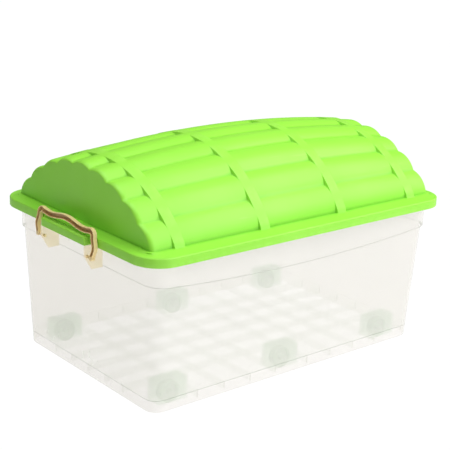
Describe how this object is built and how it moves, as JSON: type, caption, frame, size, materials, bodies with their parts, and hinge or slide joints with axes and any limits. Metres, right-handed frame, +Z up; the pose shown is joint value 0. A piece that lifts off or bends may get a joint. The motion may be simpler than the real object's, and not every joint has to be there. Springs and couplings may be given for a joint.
{
  "type": "wheeled storage trunk with domed lid",
  "caption": "Long clear tapered storage trunk with a fluted domed lid, bail handles that lock the lid down at both ends, and small wheels recessed under the floor.",
  "frame": {"origin": "on the ground, under the middle of the tub", "axes": "+X along the length, +Y across the width towards the rear side, +Z up; the handles are on the two X ends"},
  "size_m": [0.726, 0.472, 0.4181],
  "materials": {
    "clear_plastic": "milky translucent moulded polypropylene",
    "lime_plastic": "satin moulded polypropylene",
    "cream_plastic": "satin moulded plastic, cream",
    "housing_plastic": "moulded plastic",
    "axle_steel": "plain drawn wire",
    "wheel_plastic": "moulded plastic with a worn tread"
  },
  "bodies": {
    "tub": {"tub": "clear_plastic", "front_left_housing": "housing_plastic", "front_middle_housing": "housing_plastic", "front_right_housing": "housing_plastic", "rear_left_housing": "housing_plastic", "rear_middle_housing": "housing_plastic", "rear_right_housing": "housing_plastic", "front_left_axle": "axle_steel", "front_middle_axle": "axle_steel", "front_right_axle": "axle_steel", "rear_left_axle": "axle_steel", "rear_middle_axle": "axle_steel", "rear_right_axle": "axle_steel"},
    "lid": {"lid": "lime_plastic"},
    "left_handle": {"left_handle": "cream_plastic"},
    "right_handle": {"right_handle": "cream_plastic"},
    "front_left_wheel": {"front_left_wheel": "wheel_plastic"},
    "front_middle_wheel": {"front_middle_wheel": "wheel_plastic"},
    "front_right_wheel": {"front_right_wheel": "wheel_plastic"},
    "rear_left_wheel": {"rear_left_wheel": "wheel_plastic"},
    "rear_middle_wheel": {"rear_middle_wheel": "wheel_plastic"},
    "rear_right_wheel": {"rear_right_wheel": "wheel_plastic"}
  },
  "joints": [
    {"name": "lid_lift", "type": "slide", "parent": "tub", "child": "lid", "axis": [0, 0, 1], "range_m": [0, 0.042]},
    {"name": "left_handle_swing", "type": "hinge", "parent": "tub", "child": "left_handle", "pos_m": [-0.3575, 0, 0.2532], "axis": [0, -1, 0], "range_deg": [0, 180]},
    {"name": "right_handle_swing", "type": "hinge", "parent": "tub", "child": "right_handle", "pos_m": [0.3575, 0, 0.2532], "axis": [0, 1, 0], "range_deg": [0, 180]},
    {"name": "front_left_roll", "type": "hinge", "parent": "tub", "child": "front_left_wheel", "pos_m": [-0.256, -0.1635, 0.02], "axis": [0, 1, 0], "continuous": true},
    {"name": "front_middle_roll", "type": "hinge", "parent": "tub", "child": "front_middle_wheel", "pos_m": [0, -0.1635, 0.02], "axis": [0, 1, 0], "continuous": true},
    {"name": "front_right_roll", "type": "hinge", "parent": "tub", "child": "front_right_wheel", "pos_m": [0.256, -0.1635, 0.02], "axis": [0, 1, 0], "continuous": true},
    {"name": "rear_left_roll", "type": "hinge", "parent": "tub", "child": "rear_left_wheel", "pos_m": [-0.256, 0.1635, 0.02], "axis": [0, 1, 0], "continuous": true},
    {"name": "rear_middle_roll", "type": "hinge", "parent": "tub", "child": "rear_middle_wheel", "pos_m": [0, 0.1635, 0.02], "axis": [0, 1, 0], "continuous": true},
    {"name": "rear_right_roll", "type": "hinge", "parent": "tub", "child": "rear_right_wheel", "pos_m": [0.256, 0.1635, 0.02], "axis": [0, 1, 0], "continuous": true}
  ],
  "couplings": [
    {"joint": "left_handle_swing", "follows": "lid_lift", "rad_per_m": 74.5},
    {"joint": "right_handle_swing", "follows": "lid_lift", "rad_per_m": 74.5}
  ]
}
